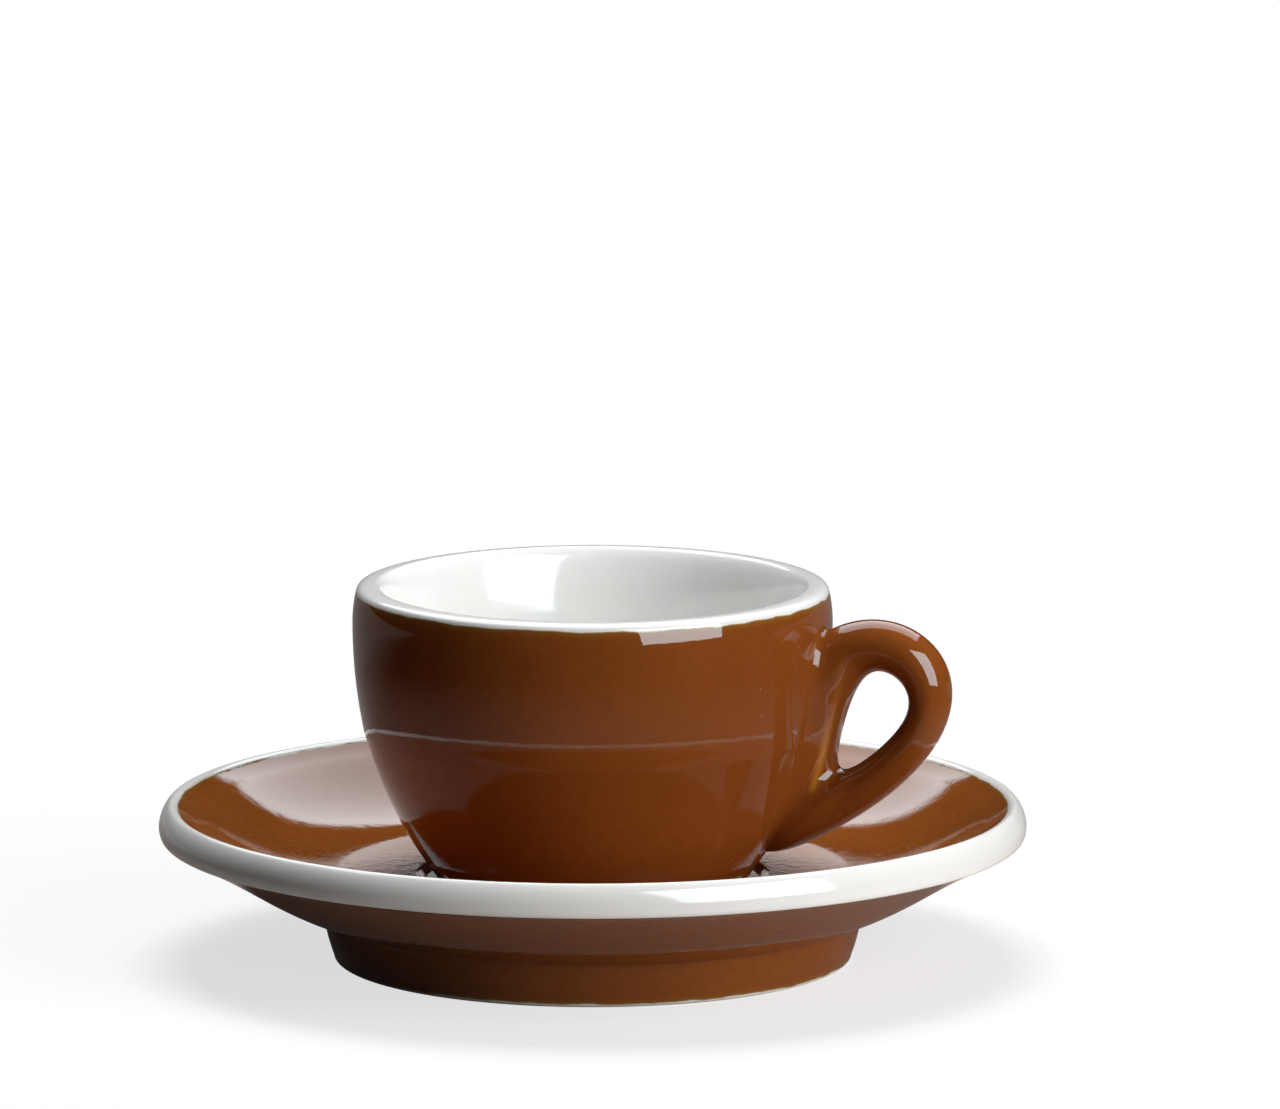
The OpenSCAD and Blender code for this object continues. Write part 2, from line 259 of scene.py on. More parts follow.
wall_line = chain(
    curve(white_line, [WHITE_LINE_R + WHITE_LINE_PULL, WHITE_LINE_Z - LIP_TURN],
          [CUP_R, LIP_Z + LIP_TURN], lip_low, steps=16),
    curve(lip_low, [CUP_R, LIP_Z - UPPER_PULL * upper],
          [KNEE_R + KNEE_UP_LEAN * KNEE_UP * upper, KNEE_Z + KNEE_UP * upper], knee, steps=60),
    curve(knee, [KNEE_R - KNEE_DOWN_LEAN * KNEE_DOWN * lower, KNEE_Z - KNEE_DOWN * lower],
          [BASE_R + BASE_LEAN * BASE_UP * lower, BASE_Z + BASE_UP * lower], base, steps=70),
    [base, [CUP_FOOT_R, BASE_Z - BASE_EDGE], [CUP_FOOT_R, WELL_Z + FOOT_EDGE]])
print("cup profile points:", len(bowl_line), len(lip_line), len(wall_line))

# %% [markdown]
# ## The cup's foot
# The cup stands in the well on a small ring of its own, round a shallow recess. Hardly more
# than the ring's outer edge is ever seen, so it is kept plain: two small rounded edges.

# %% Cup foot profile
CUP_FOOT_IN_R, CUP_RECESS = 17.6, 1.7
foot_in = [CUP_FOOT_IN_R, WELL_Z + FOOT_EDGE]
cup_foot_line = chain(
    corner([CUP_FOOT_R, WELL_Z + FOOT_EDGE], [CUP_FOOT_R, WELL_Z],
           [CUP_FOOT_R - FOOT_EDGE, WELL_Z], steps=6),
    [[CUP_FOOT_R - FOOT_EDGE, WELL_Z]],
    corner([CUP_FOOT_IN_R + FOOT_EDGE, WELL_Z], [CUP_FOOT_IN_R, WELL_Z], foot_in, steps=6),
    [foot_in])
recess_top = WELL_Z + CUP_RECESS
cup_recess_line = chain(
    [foot_in],
    corner([CUP_FOOT_IN_R, WELL_Z + CUP_RECESS / 2], [CUP_FOOT_IN_R, recess_top],
           [CUP_FOOT_IN_R - CUP_RECESS, recess_top], steps=8),
    [[CUP_FOOT_IN_R - CUP_RECESS, recess_top], [0, recess_top]])
print("cup foot and recess points:", len(cup_foot_line), len(cup_recess_line))

# %% [markdown]
# ## Turning a profile into a mesh
# A lathe mesh needs one ring of points for each point of the profile. Making the rings in code,
# and not with a screw modifier, lets each point carry a number of its own: how far it lies
# from the line where brown glaze meets white. The finishes read that number later.

# %% Lathe
ROUND = np.linspace(0, 2 * np.pi, 320, endpoint=False)


def new_object(name, points, faces, sharp=35):
    """A smooth-shaded mesh object from points in millimetres."""
    mesh = bpy.data.meshes.new(name)
    mesh.from_pydata((np.array(points) * MM).tolist(), [], faces)
    mesh.shade_smooth()
    mesh.set_sharp_from_angle(angle=math.radians(sharp))
    made = bpy.data.objects.new(name, mesh)
    bpy.context.scene.collection.objects.link(made)
    return made


def lathe(name, line, closed=False, angles=ROUND):
    """Turns a line of (radius, height) points. A point on the axis becomes one vertex."""
    points, rings = [], []
    for r, z in line:
        first = len(points)
        if r < TINY:
            points.append((0, 0, z))
            rings.append([first] * len(angles))
        else:
            points.extend(zip(r * np.cos(angles), r * np.sin(angles), [z] * len(angles)))
            rings.append(range(first, first + len(angles)))
    faces = []
    for a, b in zip(rings, list(rings[1:]) + ([rings[0]] if closed else [])):
        for j in range(len(angles)):
            k = (j + 1) % len(angles)
            faces.append(tuple(dict.fromkeys((a[j], b[j], b[k], a[k]))))
    return new_object(name, points, faces), [len(set(ring)) for ring in rings]


def mark(piece, name, values):
    """Stores one number for each vertex, for a material to read."""
    layer = piece.data.attributes.new(name, "FLOAT", "POINT")
    layer.data.foreach_set("value", np.array(values, np.float32))


print("lathe ready,", len(ROUND), "steps a turn")

# %% [markdown]
# ## The brown coats
# The brown glaze is a coat about a third of a millimetre thick, let into the white body. Real
# glaze has no ruled edge, so each coat runs on a little past the brown line, and the finish
# turns it white there along a slightly uneven edge. The joint between coat and body is then
# white on white and can't be seen. Only the wall's coat stays brown down to its last edge,
# because the brown runs on round the cup's foot.

# %% Brown coat maker
COAT, LAP, FAR, BACK_EVERY = 0.3, 0.4, 9.0, 4


def coat(name, before, line, after, angles=ROUND, white_after=True):
    """A coat over a line, lapping onto the lines before and after it where they are given.

    The lap shows white, except after the line where white_after is off."""
    parts = [piece_of(before, total(before) - LAP, total(before))] if before is not None else []
    parts.append(line)
    parts += [piece_of(after, 0, LAP)] if after is not None else []
    face = chain(*parts)
    back = into_clay(face, COAT)
    back = back[sorted({*range(0, len(back), BACK_EVERY), len(back) - 1})]
    ends = lengths(face)
    edge = np.minimum(ends - LAP if before is not None else FAR,
                      ends[-1] - LAP - ends if after is not None and white_after else FAR)
    closed = before is not None and after is not None
    made, counts = lathe(name, list(face) + list(back[::-1]), closed, angles)
    on_rings = np.concatenate([edge, np.full(len(back), FAR)])
    mark(made, "edge", np.repeat(np.minimum(on_rings, FAR), counts))
    return made, face, back


dish, _, dish_back = coat("dish_coat", None, dish_line, rim_line)
under, _, under_back = coat("underside_coat", rim_line, under_line, bare_line)
recess, _, recess_back = coat("foot_recess_coat", bare_line, recess_line, None)
for piece, node in ((dish, "saucer_dish_glaze"), (under, "saucer_underside_glaze"),
                    (recess, "saucer_recess_glaze")):
    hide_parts(node)
    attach(piece, "saucer")
    print(piece.name, len(piece.data.polygons), "faces")

# %% [markdown]
# ## The saucer's white body
# What is left of the saucer is porcelain: the rim, the bare ring it stands on, and the clay
# under the coats. Its profile follows the backs of the coats, so nothing overlaps.

# %% Saucer body
BARE_FADE = 0.25
rim_white = piece_of(rim_line, LAP, total(rim_line) - LAP)
bare_clay = piece_of(bare_line, LAP, total(bare_line) - LAP)
saucer_lines = [dish_back, rim_white, under_back, bare_clay, recess_back]
saucer, _ = lathe("saucer_porcelain", chain(*saucer_lines))
heights = np.array([v.co.z for v in saucer.data.vertices]) / MM
radii = np.array([v.co.xy.length for v in saucer.data.vertices]) / MM
mark(saucer, "bare", np.clip((BARE_Z - heights) / BARE_FADE, 0, 1) * (radii > RECESS_R))
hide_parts("saucer_body")
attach(saucer, "saucer")
print(saucer.name, len(saucer.data.polygons), "faces")

# %% [markdown]
# ## The handle
# The handle is an ear pulled from a strap of clay: an egg-shaped finger hole inside a larger
# egg. A curve with a bevel would give one thickness all round, but here the strap swells into
# the leg that runs down the wall, so the skin is built ring by ring between the two eggs.

# %% Handle skin
RINGS, SECTION = 300, 96
HOLE = dict(mid=(39.85, 35.65), half=(7.7, 3.8), lean=60, bend=(0.562, -0.293, -0.638))
EAR = dict(mid=(35.45, 31.4), half=(19.2, 10.7), lean=52, bend=(2.14, 1.209, 0.674))
STRAP_W, LEG_W, LEG_OUT, LEG_BLEND = 7.6, 8.8, 38.0, 6.0


def egg(shape, t):
    """Points of an egg-shaped loop, in millimetres out from the axis and up."""
    along = shape["half"][0] * np.cos(t) + shape["bend"][2] * np.cos(2 * t)
    across = (shape["half"][1] * np.sin(t) + shape["bend"][0] * np.sin(2 * t)
              + shape["bend"][1] * (1 - np.cos(2 * t)) / 2)
    c, s = math.cos(math.radians(shape["lean"])), math.sin(math.radians(shape["lean"]))
    return np.stack([shape["mid"][0] + along * c - across * s,
                     shape["mid"][1] + along * s + across * c], -1)


def soft(u):
    v = np.clip(u, 0, 1)
    return v * v * (3 - 2 * v)


def ring_faces(rings, section):
    """Quads of a skin that closes both round its section and round its loop."""
    at = lambda i, j: (i % rings) * section + j % section
    return [(at(i, j), at(i, j + 1), at(i + 1, j + 1), at(i + 1, j))
            for i in range(rings) for j in range(section)]


t = np.linspace(0, 2 * np.pi, RINGS, endpoint=False)[:, None]
s = np.linspace(0, 2 * np.pi, SECTION, endpoint=False)[None, :]
inner, outer = egg(HOLE, t), egg(EAR, t)
middle, reach = (inner + outer) / 2, (outer - inner) / 2
width = STRAP_W + (LEG_W - STRAP_W) * soft((LEG_OUT - middle[..., 0]) / LEG_BLEND)
xz = middle + reach * np.cos(s)[..., None]
skin = np.stack([xz[..., 0], width / 2 * np.sin(s), xz[..., 1]], -1).reshape(-1, 3)
ear = new_object("ear_skin", skin, ring_faces(RINGS, SECTION))
print("handle skin:", len(skin), "points")

# %% [markdown]
# ## Where the handle meets the wall
# A potter wipes slip into the joint, and the glaze fills it further, so handle and wall flow
# into each other through a hollow curve. Both skins are bent along the same curve: with `a` the
# distance from the handle and `b` the distance from the wall, its points satisfy
# sqrt(a) + sqrt(b) = sqrt(reach). The skins then meet in one line with one slope, and no seam
# shows, though handle and wall stay two pieces.

# %% Fillet
FILLET, FILLET_TOP, FILLET_TIP = 2.6, 1.2, 0.9
TIP_Z, TIP_BLEND, TOP_Z, TOP_BLEND = 17, 7, 43.5, 4
DEEPEST, LEAN_LOW, LEAN_HIGH, MOST_LIFT = -0.1, -0.5, 0.999, 0.6
FOOT_POINTS = 2
wall_to_base = wall_line[:-FOOT_POINTS]


def wall_nearest(points):
    """Signed distance to the turned wall and its outward direction, for points in millimetres."""
    flat = np.c_[np.hypot(points[:, 0], points[:, 1]), points[:, 2]]
    a, b = wall_to_base[:-1], wall_to_base[1:]
    d = b - a
    share = np.clip(((flat[:, None] - a) * d).sum(-1) / (d * d).sum(-1), 0, 1)
    gap = flat[:, None] - (a + share[..., None] * d)
    far = np.linalg.norm(gap, axis=-1)
    best = far.argmin(1)
    rows = np.arange(len(flat))
    out = np.c_[-d[best, 1], d[best, 0]] / np.linalg.norm(d[best], axis=1)[:, None]
    signed = far[rows, best] * np.sign((gap[rows, best] * out).sum(1))
    sideways = points[:, :2] / np.maximum(flat[:, :1], TINY)
    return signed, np.c_[sideways * out[:, :1], out[:, 1]]


def fillet_reach(points):
    """How far the fillet reaches at each point: small over the handle and at its lower tip."""
    z = points[:, 2]
    return (FILLET_TIP + (FILLET - FILLET_TIP) * soft((z - TIP_Z) / TIP_BLEND)
            - (FILLET - FILLET_TOP) * soft((z - TOP_Z) / TOP_BLEND))


def fillet_lift(far, lean, k):
    """How far a point of one skin moves out, given its distance from the other skin.

    Here lean is 1 where the two skins face the same way, and k is the fillet's reach."""
    far = np.maximum(far, DEEPEST)
    lean = np.clip(lean, LEAN_LOW, LEAN_HIGH)
    inside = np.maximum(k - (1 - lean) * (k - far), 0)
    curved = ((np.sqrt(k) - np.sqrt(inside)) / (1 - lean)) ** 2
    straight = (k / 2 - far) / (1 + lean)
    lift = np.where(far > (1 - lean) * k / 4, curved, np.minimum(straight, MOST_LIFT * k))
    return np.where(far < k, lift, 0)


skin_normals = np.array([v.normal[:] for v in ear.data.vertices])
from_wall, wall_out = wall_nearest(skin)
lift = fillet_lift(from_wall, (skin_normals * wall_out).sum(1), fillet_reach(skin))
ear_tree = BVHTree.FromPolygons(skin.tolist(), [tuple(p.vertices) for p in ear.data.polygons])
handle_skin = skin + skin_normals * lift[:, None]
print("largest fillet lift on the handle, mm:", round(float(lift.max()), 2))

# %% [markdown]
# ## Cutting the handle's root
# The ear runs right through the wall, so its root is cut off along the wall with a boolean
# modifier. The cutter is the turned wall itself, a trace larger, which leaves the root just
# under the skin of the fillet.

# %% Handle piece
ROOT_GAP, ROOT_SHARP, CUTTER_STEPS = 0.05, 50, 160
bpy.data.objects.remove(ear)
handle = new_object("handle_ear", handle_skin, ring_faces(RINGS, SECTION))
cutter_line = into_clay(wall_to_base[:-1], -ROOT_GAP)
cutter, _ = lathe("cutter", chain([[0, cutter_line[0][1]]], cutter_line[::2], [[0, BASE_Z]]),
                  angles=np.linspace(0, 2 * np.pi, CUTTER_STEPS, endpoint=False))
cut = handle.modifiers.new("root", "BOOLEAN")
cut.operation, cut.solver, cut.object = "DIFFERENCE", "EXACT", cutter
graph = bpy.context.evaluated_depsgraph_get()
cut_mesh = bpy.data.meshes.new_from_object(handle.evaluated_get(graph))
handle.modifiers.clear()
handle.data = cut_mesh
handle.data.name = "handle_ear"
cut_mesh.shade_smooth()
cut_mesh.set_sharp_from_angle(angle=math.radians(ROOT_SHARP))
bpy.data.objects.remove(cutter)
mark(handle, "edge", np.full(len(cut_mesh.vertices), FAR))
print("handle:", len(cut_mesh.polygons), "faces")

# %% [markdown]
# ## The golden line on the handle
# A golden line runs down the side of the handle's leg. It is partly glaze that melted back from a
# ridge and thinned there, and partly a painted highlight on that ridge, which the mesh doesn't
# have.
# It could be painted on an image, but a straight line needs none. Each point of the handle gets a
# number that is 1 on the line and falls to 0 beside it.

# %% Golden line on the handle: thinned glaze and painted highlight
RIDGE_TOP, RIDGE_LOW, RIDGE_W = np.array((37.8, 46.9)), np.array((32.6, 25.6)), 0.42
RIDGE_SIDE, RIDGE_IN, RIDGE_END, RIDGE_OUT = 2, 0.3, 1.02, 0.06
FAINT, BRIGHT_FROM = 0.35, 0.45

spots = np.array([v.co[:] for v in cut_mesh.vertices]) / MM
ridge = RIDGE_LOW - RIDGE_TOP
from_top = spots[:, [0, 2]] - RIDGE_TOP
down = from_top @ ridge / (ridge @ ridge)
aside = np.abs(from_top[:, 0] * ridge[1] - from_top[:, 1] * ridge[0]) / np.linalg.norm(ridge)
# 1 on the golden line down the leg, which is thinned glaze and a painted highlight
thin = np.exp(-(aside / RIDGE_W) ** 2) * (np.abs(spots[:, 1]) > RIDGE_SIDE)
thin *= soft(down / RIDGE_IN) * soft((RIDGE_END - down) / RIDGE_OUT)
thin *= FAINT + (1 - FAINT) * soft((down - BRIGHT_FROM) / RIDGE_IN)
mark(handle, "thin", thin)
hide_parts("handle")
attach(handle, "cup")
print("points on the thin line:", int((thin > FAINT).sum()))

# %% [markdown]
# ## The cup's wall
# The wall is turned like the saucer, but with its steps crowded together behind the handle,
# where the fillet needs them. There each point moves outwards by the same curve as the
# handle's skin.

# %% Cup wall and recess glaze
NEAR, NEAR_STEPS, FAR_STEPS = math.radians(30), 181, 221
ROOT_X, ROOT_Y, BELOW_LIP, SEARCH = 20, 14, 0.3, 12
near_steps = np.linspace(-NEAR, NEAR, NEAR_STEPS)
far_steps = np.linspace(NEAR, 2 * np.pi - NEAR, FAR_STEPS)[1:-1]
CUP_ROUND = np.concatenate([near_steps, far_steps])

wall, wall_face, wall_back = coat(
    "wall_coat", lip_line, wall_line, cup_foot_line, CUP_ROUND, white_after=False)
co = np.array([v.co[:] for v in wall.data.vertices]) / MM
surface = np.arange(len(co)) < len(wall_face) * len(CUP_ROUND)
close = (surface & (co[:, 0] > ROOT_X) & (np.abs(co[:, 1]) < ROOT_Y)
         & (co[:, 2] < WHITE_LINE_Z - BELOW_LIP))
_, out = wall_nearest(co)
far, lean = np.full(len(co), FAR), np.zeros(len(co))
for i in np.nonzero(close)[0]:
    spot, normal, _, distance = ear_tree.find_nearest(Vector(co[i]), SEARCH)
    if spot is not None:
        inside = (Vector(co[i]) - spot).dot(normal) < 0
        far[i] = -distance if inside else distance
        lean[i] = normal.dot(Vector(out[i]))
raised = np.where(close, fillet_lift(far, lean, fillet_reach(co)), 0)
wall.data.vertices.foreach_set("co", ((co + out * raised[:, None]) * MM).ravel())
wall.data.update()
cup_recess, _, cup_recess_back = coat(
    "cup_recess_coat", cup_foot_line, cup_recess_line, None, CUP_ROUND)
for piece, node in ((wall, "cup_wall_glaze"), (cup_recess, "cup_recess_glaze")):
    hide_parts(node)
    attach(piece, "cup")
    print(piece.name, len(piece.data.polygons), "faces")
print("largest fillet lift on the wall, mm:", round(float(raised.max()), 2))

# %% [markdown]
# ## The cup's white body
# The bowl and the rolled lip are left white. Porcelain this thick is opaque, so the body is one
# solid from the bowl out to the backs of the coats.

# %% Cup body
CUP_BARE = 0.2
lip_white = piece_of(lip_line, 0, total(lip_line) - LAP)
foot_white = piece_of(cup_foot_line, LAP, total(cup_foot_line) - LAP)
cup_lines = [bowl_line, lip_white, wall_back, foot_white, cup_recess_back]
cup, _ = lathe("cup_porcelain", chain(*cup_lines), angles=CUP_ROUND)
heights = np.array([v.co.z for v in cup.data.vertices]) / MM
mark(cup, "bare", np.clip((WELL_Z + CUP_BARE - heights) / CUP_BARE, 0, 1))
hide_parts("cup_body")
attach(cup, "cup")
print(cup.name, len(cup.data.polygons), "faces")

# %% [markdown]
# ## Building materials from nodes
# A material is a small network. Writing each node's settings out by hand takes many lines, so
# helpers add a node, do a sum, blend two colours, draw noise, stretch a range of values to
# another one and read a number that the mesh carries.

# %% Node helpers


class Network:
    """Adds nodes to one material and links them as they are made."""

    def __init__(self, name):
        self.material = bpy.data.materials.new(name)
        self.material.use_nodes = True
        self.tree = self.material.node_tree
        self.tree.nodes.clear()

    def add(self, kind, inputs=None, **settings):
        node = self.tree.nodes.new("ShaderNode" + kind)
        for key, value in settings.items():
            setattr(node, key, value)
        for key, value in (inputs or {}).items():
            if isinstance(value, bpy.types.NodeSocket):
                self.tree.links.new(value, node.inputs[key])
            else:
                node.inputs[key].default_value = value
        return node

    def sum(self, operation, a, b):
        return self.add("Math", {0: a, 1: b}, operation=operation).outputs[0]

    def blend(self, share, a, b):
        made = self.add("Mix", {0: share, 6: a, 7: b}, data_type="RGBA")
        return made.outputs[2]

    def noise(self, where, scale, detail=2.0, roughness=0.5):
        made = self.add("TexNoise", {"Vector": where, "Scale": scale, "Detail": detail,
                                     "Roughness": roughness})
        return made.outputs["Fac"]

    def spread(self, value, low, high, to_low=0.0, to_high=1.0):
        made = self.add("MapRange", {"Value": value, "From Min": low, "From Max": high,
                                     "To Min": to_low, "To Max": to_high})
        return made.outputs[0]

    def read(self, name):
        return self.add("Attribute", attribute_name=name).outputs["Fac"]


def rgb(r, g, b):
    """A colour as seen on screen, 0 to 255, as the linear colour that a shader wants."""
    return tuple(((c / 255 + 0.055) / 1.055) ** 2.4 if c > 10 else c / 255 / 12.92
                 for c in (r, g, b)) + (1.0,)


print("node helpers ready")

# %% [markdown]
# ## White glaze
# Clear glaze over white porcelain: a cool white, glossy, with the very slight waviness that a
# melted surface keeps. The ring that the saucer stands on is wiped bare before firing, so it
# is matt, a little yellower and faintly rubbed grey.

# %% White glaze
WHITE = rgb(240, 241, 239)
WHITES = rgb(239, 240, 238), rgb(242, 242, 240)
CLAYS = rgb(205, 198, 185), rgb(228, 222, 210)
CLOUDS, GRIT, WAVES, WAVE_HEIGHT = 90, 2500, 130, 0.00005
GLOSS, BARE_ROUGH, GLAZE_IOR = (0.06, 0.1), 0.6, 1.5


def white_glaze():
    net = Network("white_glaze")
    where = net.add("TexCoord").outputs["Object"]
    cloud = net.noise(where, CLOUDS, 3)
    white = net.blend(net.spread(cloud, 0.3, 0.7), *WHITES)
    bare = net.read("bare")
    clay = net.blend(net.spread(net.noise(where, GRIT, 3), 0.35, 0.65), *CLAYS)
    wave = net.noise(where, WAVES, 2)
    bump = net.add("Bump", {"Height": wave, "Distance": WAVE_HEIGHT, "Strength": 0.5})
    rough = net.sum("ADD", net.sum("MULTIPLY", bare, BARE_ROUGH), net.spread(cloud, 0, 1, *GLOSS))
    shader = net.add("BsdfPrincipled", {
        "Base Color": net.blend(bare, white, clay), "Roughness": rough, "IOR": GLAZE_IOR,
        "Normal": bump.outputs[0]})
    net.add("OutputMaterial", {"Surface": shader.outputs[0]})
    return net.material


white_finish = white_glaze()
for piece in (saucer, cup):
    piece.data.materials.clear()
    piece.data.materials.append(white_finish)
print("white glaze on", saucer.name, cup.name)

# %% [markdown]
# ## Brown glaze
# An iron glaze is never one flat colour: it is a little darker where it pooled, and warmer and
# more golden along its own edge. There it is golden first, then olive, then white, over less than a
# millimetre. Down the handle's leg runs a golden line that is partly thinned glaze and partly a
# painted highlight. The glaze is glassy but gently dimpled, like orange peel, and that frays the
# edges of whatever it mirrors. Three coats come from one recipe. The saucer's dish is a little
# lighter than the cup, and that extra lightness is painted light standing in for part of the light
# that falls on it from above. The dish is also more dimpled, and the underside is the smoothest.

# %% Brown glaze
# The second colour paints the handle's golden line: thinned glaze, and a painted highlight
MOTTLE, GOLD_THIN_GLAZE_AND_HIGHLIGHT, PALE_PIN = rgb(121, 65, 24), rgb(190, 125, 45), rgb(222, 190, 140)
EDGE_GOLD, EDGE_OLIVE = rgb(142, 92, 34), rgb(176, 152, 108)
GOLD_FROM, OLIVE_FROM, WHITE_FROM, FRAY = (0.1, 0.9), (0.0, 0.2), (-0.06, 0.05), 0.16
PINS, PIN_R, PIN_RARE = 520.0, 0.055, 0.965


def brown_glaze(name, dimple, dimple_scale, deep, light):
    net = Network(name)
    where = net.add("TexCoord").outputs["Object"]
    cloud = net.noise(where, 45, 3)
    mottle = net.noise(where, 700, 4, 0.6)
    brown = net.blend(net.spread(cloud, 0.3, 0.7), deep, light)
    brown = net.blend(net.spread(mottle, 0.2, 0.8, 0.0, 0.5), brown, MOTTLE)
    # Gold along the handle's line: thinned glaze, and a painted highlight
    brown = net.blend(net.sum("MULTIPLY", net.read("thin"), 0.7), brown, GOLD_THIN_GLAZE_AND_HIGHLIGHT)
    fray = net.spread(net.noise(where, 260, 3), 0.25, 0.75, -FRAY, FRAY)
    edge = net.sum("ADD", net.read("edge"), fray)
    golden = net.blend(net.spread(edge, *GOLD_FROM), EDGE_GOLD, brown)
    olive = net.blend(net.spread(edge, *OLIVE_FROM), EDGE_OLIVE, golden)
    colour = net.blend(net.spread(edge, *WHITE_FROM), WHITE, olive)
    pin = net.add("TexVoronoi", {"Vector": where, "Scale": PINS})
    rare = net.add("SeparateColor", {0: pin.outputs["Color"]}).outputs[0]
    speck = net.sum("MULTIPLY", net.sum("LESS_THAN", pin.outputs["Distance"], PIN_R),
                    net.sum("GREATER_THAN", rare, PIN_RARE))
    colour = net.blend(net.sum("MULTIPLY", speck, 0.55), colour, PALE_PIN)
    peel = net.noise(where, dimple_scale, 2)
    broad = net.noise(where, dimple_scale * 0.3, 2)
    height = net.sum("ADD", peel, net.sum("MULTIPLY", broad, 1.2))
    bump = net.add("Bump", {"Height": height, "Distance": dimple, "Strength": 1.0})
    rough = net.spread(mottle, 0, 1, 0.015, 0.035)
    shader = net.add("BsdfPrincipled", {
        "Base Color": colour, "Roughness": rough, "IOR": GLAZE_IOR, "Normal": bump.outputs[0]})
    net.add("OutputMaterial", {"Surface": shader.outputs[0]})
    return net.material


cup_brown = brown_glaze("cup_brown_glaze", 0.000004, 1300, rgb(135, 71, 27), rgb(145, 78, 30))
# The saucer's brown is lighter than the cup's, and the extra lightness is painted light for part of
# what falls on the dish from above
lit_saucer_brown = brown_glaze(
    "saucer_lit_brown_glaze", 0.000012, 2000, rgb(148, 82, 30), rgb(158, 88, 33))
under_brown = brown_glaze("underside_glaze", 0.000002, 1300, rgb(138, 75, 29), rgb(148, 82, 31))
for piece, finish in ((dish, lit_saucer_brown), (under, under_brown), (recess, under_brown),
                      (wall, cup_brown), (cup_recess, cup_brown), (handle, cup_brown)):
    piece.data.materials.clear()
    piece.data.materials.append(finish)
print("brown glaze on six pieces")

# %% [markdown]
# ## Table
# A pale table takes the pair's soft shadow and fades to white further out, where it meets the
# white surroundings. The photograph's studio was mostly dark, which is why the brown looks so
# deep. So the table answers each kind of ray in its own way. To the camera it is pale. As a
# lamp's second bounce it is pale only near the foot, most of all on the lit right side, where
# it lights the underside. In the glaze it is dull and dark, with a faint glow behind the pair
# and under the rim.

# %% Table
TABLE_HALF = 3.0
PALE, FULL_WHITE, BLACK = (0.95, 0.95, 0.95, 1), (1, 1, 1, 1), (0, 0, 0, 1)
FADE = 0.06, 0.2, 0.7, 1.0
BOUNCE_OUT, BOUNCES = (0.085, 0.15), ((0.9, 0.84, 0.8, 1), (0.03, 0.028, 0.026, 1))
MIRROR_OUT, MIRRORED = (0.08, 0.2), ((0.32, 0.26, 0.23, 1), (0.02, 0.018, 0.017, 1))
LIT_SIDE = -0.05, 0.05, 0.3, 1.0
BEHIND_GLOW, RIM_GLOW = (0.05, 0.17, 0.0, 0.19), (0.06, 0.09, 0.06, 0.0)
GLOW_TINT = 1, 0.97, 0.94, 1


def table_finish():
    net = Network("table")
    where = net.add("TexCoord").outputs["Object"]
    out = net.add("VectorMath", {0: where}, operation="LENGTH").outputs["Value"]
    towards = lambda way: net.add("VectorMath", {0: where, 1: tuple(way)},
                                  operation="DOT_PRODUCT").outputs["Value"]
    path = net.add("LightPath")
    pale = net.add("BsdfDiffuse", {"Color": PALE})
    white = net.add("Emission", {"Color": FULL_WHITE, "Strength": 1.0})
    faded = net.add("MixShader", {0: net.spread(out, *FADE), 1: pale.outputs[0],
                                  2: white.outputs[0]})
    near = net.blend(net.spread(out, *BOUNCE_OUT), *BOUNCES)
    right = net.spread(towards(to_right), *LIT_SIDE)
    dull = net.add("BsdfDiffuse", {"Color": net.blend(right, BLACK, near)})
    dark = net.blend(net.spread(out, *MIRROR_OUT), *MIRRORED)
    behind = net.spread(towards(-level_to_camera), *BEHIND_GLOW)
    under_rim = net.sum("MULTIPLY", right, net.spread(out, *RIM_GLOW))
    glow = net.add("Emission", {"Color": GLOW_TINT,
                                "Strength": net.sum("ADD", behind, under_rim)})
    shiny = net.add("AddShader", {0: net.add("BsdfDiffuse", {"Color": dark}).outputs[0],
                                  1: glow.outputs[0]})
    mirrored = net.add("MixShader", {0: path.outputs["Is Glossy Ray"], 1: dull.outputs[0],
                                     2: shiny.outputs[0]})
    shown = net.add("MixShader", {0: path.outputs["Is Camera Ray"], 1: mirrored.outputs[0],
                                  2: faded.outputs[0]})
    net.add("OutputMaterial", {"Surface": shown.outputs[0]})
    return net.material


table_mesh = bpy.data.meshes.new("table")
h = TABLE_HALF
table_mesh.from_pydata([(-h, -h, 0), (h, -h, 0), (h, h, 0), (-h, h, 0)], [], [(0, 1, 2, 3)])
table = bpy.data.objects.new("table", table_mesh)
bpy.context.scene.collection.objects.link(table)
table_mesh.materials.append(table_finish())
print("table", 2 * TABLE_HALF, "m wide")

# %% [markdown]
# ## Surroundings
# The photograph was cut out on white, so a ray that leaves the camera and meets nothing sees
# plain white. The studio itself was dark: the surroundings light the pair with almost nothing
# and show in the glaze as almost black. An image of a studio could do this too, but three
# levels, chosen by the kind of ray, are easier to balance.

# %% World
LIGHTING_SKY, MIRRORED_SKY, CAMERA_SKY = 0.004, 0.01, 1.0
world = bpy.data.worlds.new("studio")
world.use_nodes = True
bpy.context.scene.world = world
tree = world.node_tree
tree.nodes.clear()
path = tree.nodes.new("ShaderNodeLightPath")
plain, mirrored, seen = (tree.nodes.new("ShaderNodeBackground") for _ in range(3))
for shade, level in ((plain, LIGHTING_SKY), (mirrored, MIRRORED_SKY), (seen, CAMERA_SKY)):
    shade.inputs["Color"].default_value = FULL_WHITE
    shade.inputs["Strength"].default_value = level
first, second = (tree.nodes.new("ShaderNodeMixShader") for _ in range(2))
output = tree.nodes.new("ShaderNodeOutputWorld")
tree.links.new(path.outputs["Is Glossy Ray"], first.inputs[0])
tree.links.new(plain.outputs[0], first.inputs[1])
tree.links.new(mirrored.outputs[0], first.inputs[2])
tree.links.new(path.outputs["Is Camera Ray"], second.inputs[0])
tree.links.new(first.outputs[0], second.inputs[1])
tree.links.new(seen.outputs[0], second.inputs[2])
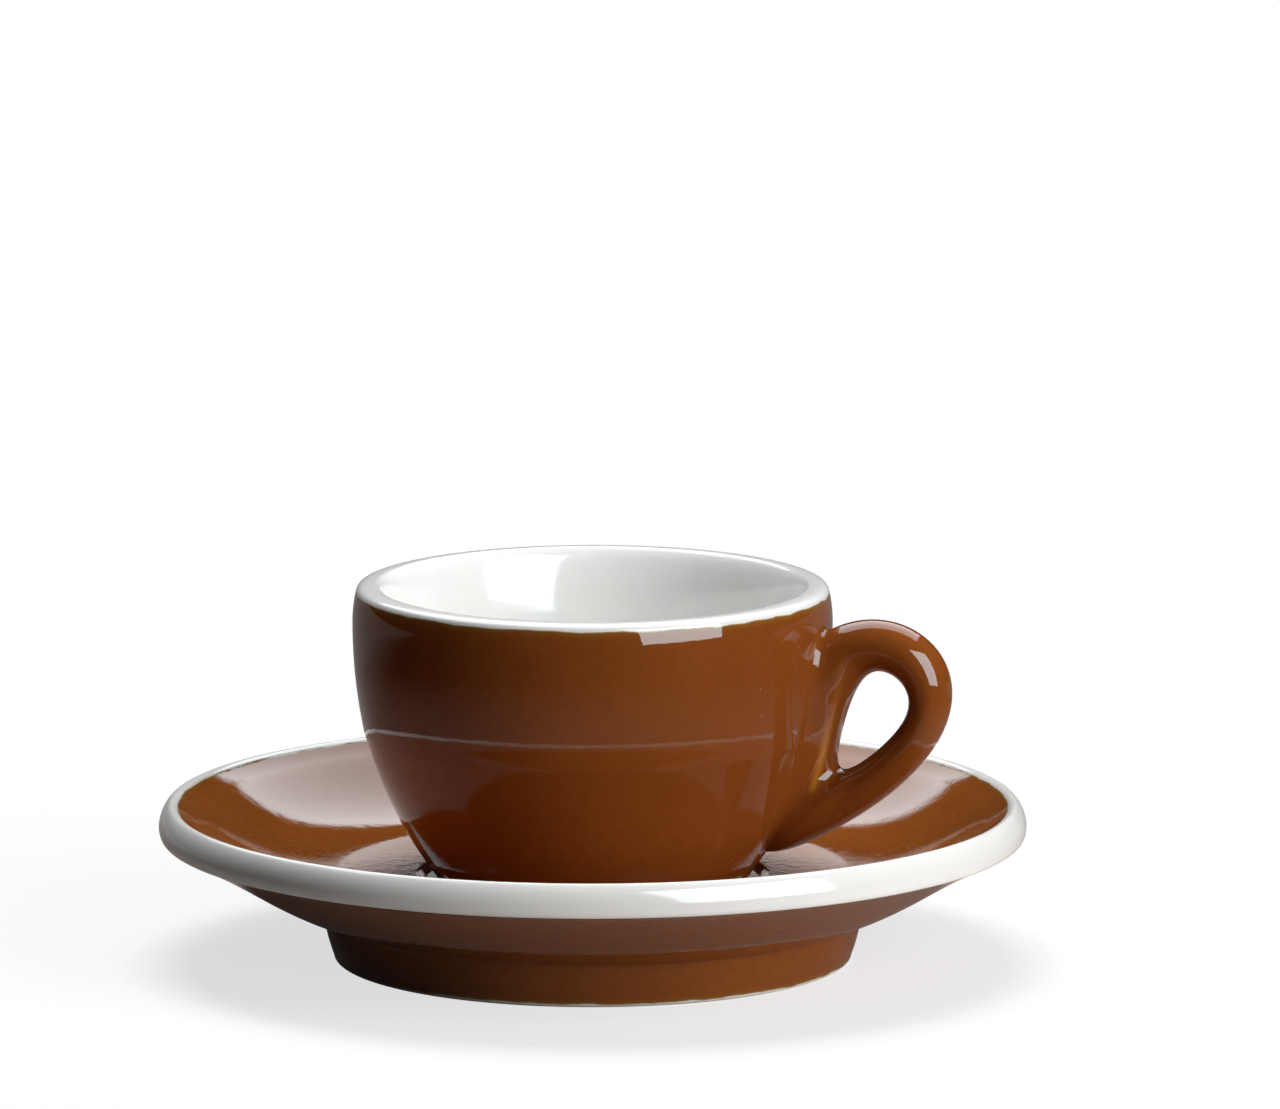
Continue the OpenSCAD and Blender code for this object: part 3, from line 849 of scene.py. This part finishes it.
tree.links.new(second.outputs[0], output.inputs["Surface"])
print("world ready")

# %% [markdown]
# ## Lamps
# The main light is a softbox to the right of the camera. It leaves the patch under the lip,
# the one in the bowl and the bands on the handle. A wide softbox overhead lights the saucer
# and shows in its dish. How soft a softbox's light is and how large it shows in the glaze
# are easier to match apart, so each softbox is two lamps: one only lights, and its sheen only
# shows in the glaze. They stand a little apart, because lamps in one place hide each other in
# reflections. Each lamp is given by its place to the right, away from the camera and up, and
# by how bright its face is, where 1 is white.

# %% Softboxes


def softbox(name, place, target, size, shine, mirrored=True, lights=True, tint=(1, 1, 1)):
    """A rectangular lamp at a place (right, away, up in metres) that faces a target."""
    data = bpy.data.lights.new(name, "AREA")
    data.shape, (data.size, data.size_y) = "RECTANGLE", size
    data.energy = shine * math.pi * size[0] * size[1]
    data.color = tint
    lamp = bpy.data.objects.new(name, data)
    spot = lambda p: to_right * p[0] - level_to_camera * p[1] + Vector((0, 0, p[2]))
    lamp.location = spot(place)
    lamp.rotation_mode = "QUATERNION"
    lamp.rotation_quaternion = (spot(target) - lamp.location).to_track_quat("-Z", "Y")
    lamp.visible_camera = False
    lamp.visible_glossy = mirrored
    lamp.visible_diffuse = lights
    bpy.context.scene.collection.objects.link(lamp)
    print(name, "power", round(data.energy, 1), "W")


SIDE, SIDE_FACE = (0.735, -0.545, 0.38), (0.607, -0.635, 0.483)
OVER, OVER_FACE = (-0.04, 0.25, 0.88), (0.0, 0.6, 0.736)
MIDDLE, UNDER = (0, 0, 0.03), (0, 0.3, -0.219)
SHEEN = (0.85, 0.99, 1.04)
softbox("side_softbox", SIDE, MIDDLE, size=(0.6, 0.7), shine=6.5, mirrored=False)
softbox("side_sheen", SIDE_FACE, MIDDLE, size=(0.77, 0.79), shine=8.0, lights=False, tint=SHEEN)
softbox("top_softbox", OVER, MIDDLE, size=(0.5, 0.6), shine=8.3, mirrored=False)
softbox("top_sheen", OVER_FACE, UNDER, size=(1.1, 0.94), shine=3.45, lights=False, tint=SHEEN)
